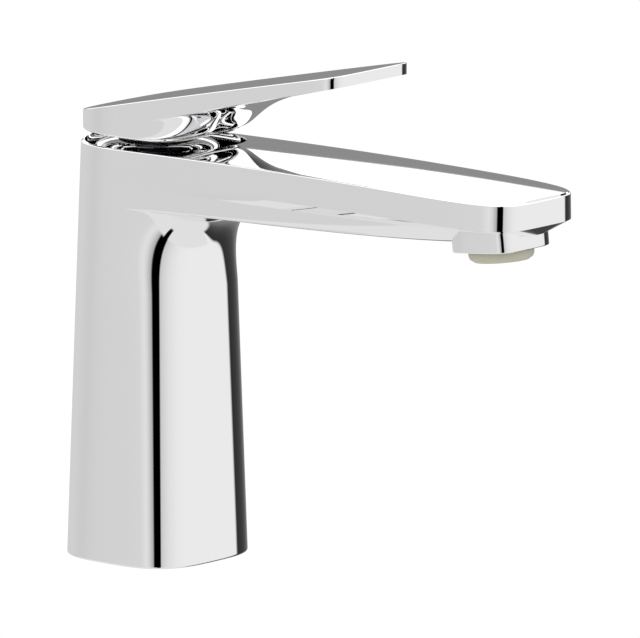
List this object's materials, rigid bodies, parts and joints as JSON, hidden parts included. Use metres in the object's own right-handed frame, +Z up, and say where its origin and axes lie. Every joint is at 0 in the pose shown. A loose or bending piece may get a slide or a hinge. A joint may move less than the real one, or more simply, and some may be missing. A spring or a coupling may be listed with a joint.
{
  "type": "bathroom mixer faucet",
  "caption": "Single-lever deck-mounted basin mixer with a squared tapering body, a flat rounded spout, a tilted blade lever and a recessed aerator.",
  "frame": {"origin": "on the worktop plane, in the middle of the body's foot, on the axis the lever swivels about", "axes": "+X along the spout, towards the user; +Z up; +Y to the user's right"},
  "size_m": [0.181, 0.05, 0.1624],
  "materials": {
    "chrome_casting": "cast brass, polished and bright chrome plated",
    "chrome_lever": "die-cast zinc, polished and bright chrome plated",
    "chrome_trim": "bright chrome plated",
    "brass": "machined brass",
    "steel": "stainless steel, machined",
    "cartridge_plastic": "off-white moulded plastic",
    "turret_plastic": "blue moulded plastic",
    "limit_plastic": "red moulded plastic",
    "outlet_plastic": "beige moulded plastic, matt",
    "disc_ceramic": "lapped alumina ceramic",
    "rubber": "black rubber"
  },
  "bodies": {
    "fixed": {"body_casting": "chrome_casting", "base_gasket": "rubber", "cartridge_base": "cartridge_plastic", "hot_foot_seal": "rubber", "cold_foot_seal": "rubber", "hot_disc_seal": "rubber", "cold_disc_seal": "rubber", "fixed_ceramic_disc": "disc_ceramic", "cartridge_housing": "cartridge_plastic", "shoulder_o_ring": "rubber", "temperature_limit_ring": "limit_plastic", "cartridge_nut": "brass", "dome_cap": "chrome_trim", "aerator_shell": "brass", "aerator_face": "outlet_plastic", "jet_plate": "outlet_plastic", "flow_regulator": "rubber", "inlet_screen": "steel", "aerator_washer": "rubber"},
    "turret": {"cartridge_turret": "turret_plastic", "stem_pivot_pin": "steel"},
    "discs": {"disc_carrier": "turret_plastic", "moving_ceramic_disc": "disc_ceramic"},
    "handle": {"cartridge_stem": "brass", "lever": "chrome_lever", "lever_set_screw": "steel", "index_plug": "chrome_trim"}
  },
  "joints": [
    {"name": "lever_swivel", "type": "hinge", "parent": "fixed", "child": "turret", "pos_m": [0, 0, 0.117], "axis": [0, 0, 1], "range_deg": [-50, 50]},
    {"name": "lever_lift", "type": "hinge", "parent": "turret", "child": "handle", "pos_m": [-0.002, 0, 0.117], "axis": [0, -1, 0], "range_deg": [0, 9]},
    {"name": "disc_slide", "type": "slide", "parent": "turret", "child": "discs", "axis": [1, 0, 0], "range_m": [0, 0.002]}
  ],
  "couplings": [
    {"joint": "disc_slide", "follows": "lever_lift", "m_per_rad": 0.0127}
  ]
}
